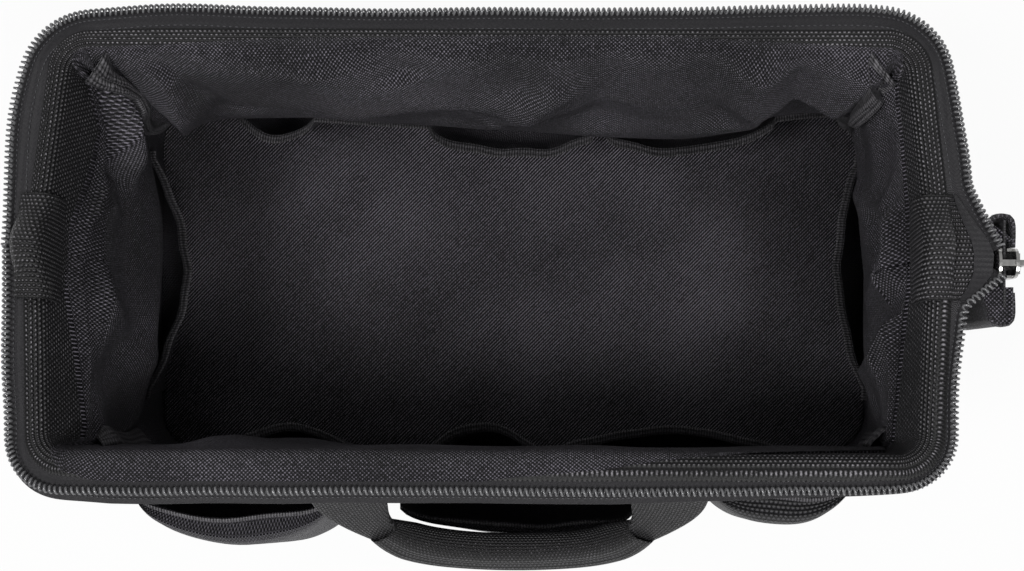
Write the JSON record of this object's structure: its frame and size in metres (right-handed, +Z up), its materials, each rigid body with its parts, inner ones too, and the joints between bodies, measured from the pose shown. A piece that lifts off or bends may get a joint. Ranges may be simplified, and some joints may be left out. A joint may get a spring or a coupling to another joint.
{
  "type": "zippered tool bag",
  "caption": "Soft rectangular tool bag standing open, its mouth held by a hinged steel gate frame with a zip round the rim, pockets inside and out, and two carrying handles.",
  "frame": {"origin": "middle of the flat underside, at floor level", "axes": "+Z is up, +X runs along the bag to the end where the zip comes away, and -Y is the front, the side of the handle that the picture shows"},
  "size_m": [0.4243, 0.2443, 0.2087],
  "materials": {
    "cloth": "matt black basket-weave polyester",
    "lining": "matt black twill-weave lining cloth",
    "webbing": "black woven webbing with a ribbed surface",
    "binding": "black ribbed grosgrain binding",
    "mesh": "black knitted mesh with hexagonal holes",
    "zip_tape": "black herringbone zip tape",
    "board": "plain dark stiffening board",
    "coil": "black nylon coil with a silvery sheen",
    "frame_steel": "bright drawn steel rod",
    "nickel": "nickel-plated die casting"
  },
  "bodies": {
    "root": {"base_board": "board", "bottom_panel": "cloth", "corner_tape_front_left": "binding", "corner_tape_front_right": "binding", "corner_tape_rear_left": "binding", "corner_tape_rear_right": "binding", "floor_lining": "lining", "front_inner_binding": "binding", "front_inner_pockets": "lining", "front_mesh_binding": "binding", "front_mesh_pocket": "mesh", "front_outer_binding": "binding", "front_outer_pocket": "cloth", "front_strap_left": "webbing", "front_strap_right": "webbing", "front_wall": "cloth", "hinge_cover_left": "webbing", "hinge_cover_right": "webbing", "hinge_rivet_left": "nickel", "hinge_rivet_right": "nickel", "left_end_wall": "cloth", "left_inner_binding": "binding", "left_inner_pockets": "lining", "rear_inner_binding": "binding", "rear_inner_pockets": "lining", "rear_outer_binding": "binding", "rear_outer_pocket": "cloth", "rear_strap_left": "webbing", "rear_strap_right": "webbing", "rear_wall": "cloth", "right_end_wall": "cloth", "right_inner_binding": "binding", "right_inner_pockets": "lining", "zip_end_tab": "cloth", "zip_stop": "nickel", "zip_tail": "zip_tape"},
    "front_gate": {"front_frame_rod": "frame_steel", "front_rim_sleeve": "webbing", "front_zip_tape": "zip_tape", "front_zip_coil": "coil", "front_handle_patch_a": "webbing", "front_handle_patch_b": "webbing"},
    "rear_gate": {"rear_frame_rod": "frame_steel", "rear_rim_sleeve": "webbing", "rear_zip_tape": "zip_tape", "rear_zip_coil": "coil", "rear_handle_patch_a": "webbing", "rear_handle_patch_b": "webbing"},
    "front_handle": {"front_handle_web": "webbing", "front_handle_grip": "webbing"},
    "rear_handle": {"rear_handle_web": "webbing", "rear_handle_grip": "webbing"},
    "zip_slider": {"slider_body": "nickel"},
    "zip_pull": {"pull_tab": "nickel"}
  },
  "joints": [
    {"name": "front_gate_hinge", "type": "hinge", "parent": "root", "child": "front_gate", "pos_m": [0, 0, 0.195], "axis": [-1, 0, 0], "range_deg": [0, 82]},
    {"name": "rear_gate_hinge", "type": "hinge", "parent": "root", "child": "rear_gate", "pos_m": [0, 0, 0.195], "axis": [1, 0, 0], "range_deg": [0, 98]},
    {"name": "front_handle_swing", "type": "hinge", "parent": "front_gate", "child": "front_handle", "pos_m": [0.0095, -0.0953, 0.19628], "axis": [-1, 0, 0], "range_deg": [0, 63]},
    {"name": "rear_handle_swing", "type": "hinge", "parent": "rear_gate", "child": "rear_handle", "pos_m": [0, 0.09196, 0.16996], "axis": [1, 0, 0], "range_deg": [0, 82]},
    {"name": "zip_slide", "type": "slide", "parent": "root", "child": "zip_slider", "axis": [0, 0, -1], "range_m": [0, 0.022]},
    {"name": "zip_pull_swing", "type": "hinge", "parent": "zip_slider", "child": "zip_pull", "pos_m": [0.2209, -0.0065, 0.1865], "axis": [0, -1, 0], "range_deg": [0, 165]}
  ]
}
